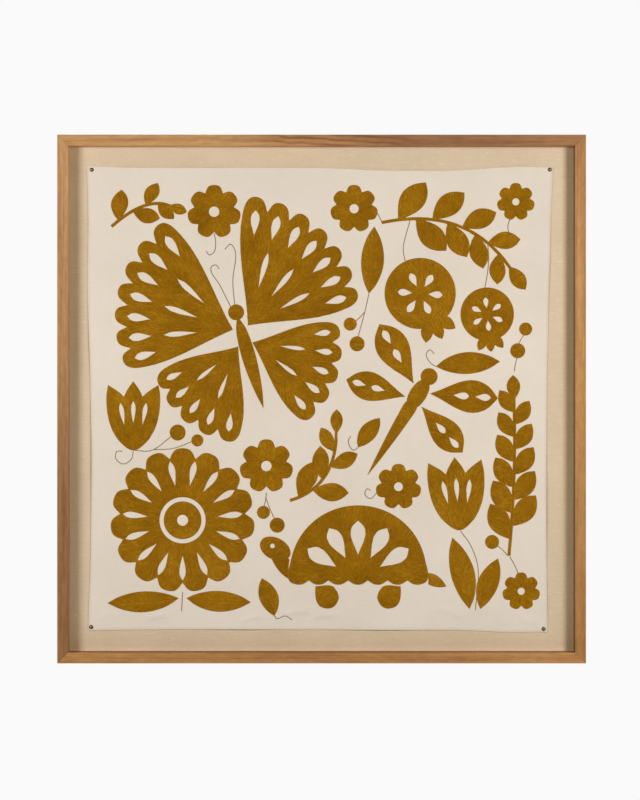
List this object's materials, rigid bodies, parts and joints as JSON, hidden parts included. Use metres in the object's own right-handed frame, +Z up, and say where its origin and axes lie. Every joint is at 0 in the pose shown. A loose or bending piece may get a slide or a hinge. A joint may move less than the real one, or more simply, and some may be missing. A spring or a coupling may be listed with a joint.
{
  "type": "embroidered textile in a shadow-box frame",
  "caption": "Cream cotton cloth embroidered with an ochre garden, nailed by its corners to a linen-covered board in a square wooden shadow-box frame.",
  "frame": {"origin": "centre of the flat back, which lies against the wall", "axes": "+Y into the wall, so the front faces -Y; +Z up; +X to the viewer's right"},
  "size_m": [1.067, 0.04, 1.067],
  "materials": {
    "frame_wood": "satin, clear finish on warm brown wood",
    "board": "matt, unfinished",
    "linen": "matt, slubby plain weave",
    "cotton": "matt, fine plain weave",
    "thread": "soft sheen, close satin stitches",
    "brass": "aged, polished by handling"
  },
  "bodies": {
    "root": {"backing_board": "board", "berry_1": "thread", "berry_2": "thread", "berry_3": "thread", "berry_4": "thread", "berry_5": "thread", "berry_6": "thread", "berry_7": "thread", "berry_8": "thread", "berry_9": "thread", "bough": "thread", "butterfly_body": "thread", "butterfly_lower_left": "thread", "butterfly_lower_right": "thread", "butterfly_upper_left": "thread", "butterfly_upper_right": "thread", "dragonfly_body": "thread", "dragonfly_fore_left": "thread", "dragonfly_fore_right": "thread", "dragonfly_hind_left": "thread", "dragonfly_hind_right": "thread", "floret_bough": "thread", "floret_corner": "thread", "floret_middle": "thread", "floret_right": "thread", "floret_tail": "thread", "floret_top": "thread", "frame_bottom": "frame_wood", "frame_left": "frame_wood", "frame_right": "frame_wood", "frame_top": "frame_wood", "leaf_ground": "thread", "leaf_middle": "thread", "leaf_right": "thread", "leaf_sun_far": "thread", "leaf_sun_near": "thread", "leaf_tail": "thread", "leaf_tulip_far": "thread", "leaf_tulip_near": "thread", "linen": "linen", "nail_bottom_left": "brass", "nail_bottom_right": "brass", "nail_top_left": "brass", "nail_top_right": "brass", "pomegranate_large": "thread", "pomegranate_small": "thread", "spray_left": "thread", "spray_middle": "thread", "spray_right": "thread", "sunflower": "thread", "sunflower_heart": "thread", "textile": "cotton", "tortoise_head": "thread", "tortoise_leg_back": "thread", "tortoise_leg_front": "thread", "tortoise_shell": "thread", "tortoise_tail": "thread", "tulip_left": "thread", "tulip_low": "thread"}
  },
  "joints": []
}
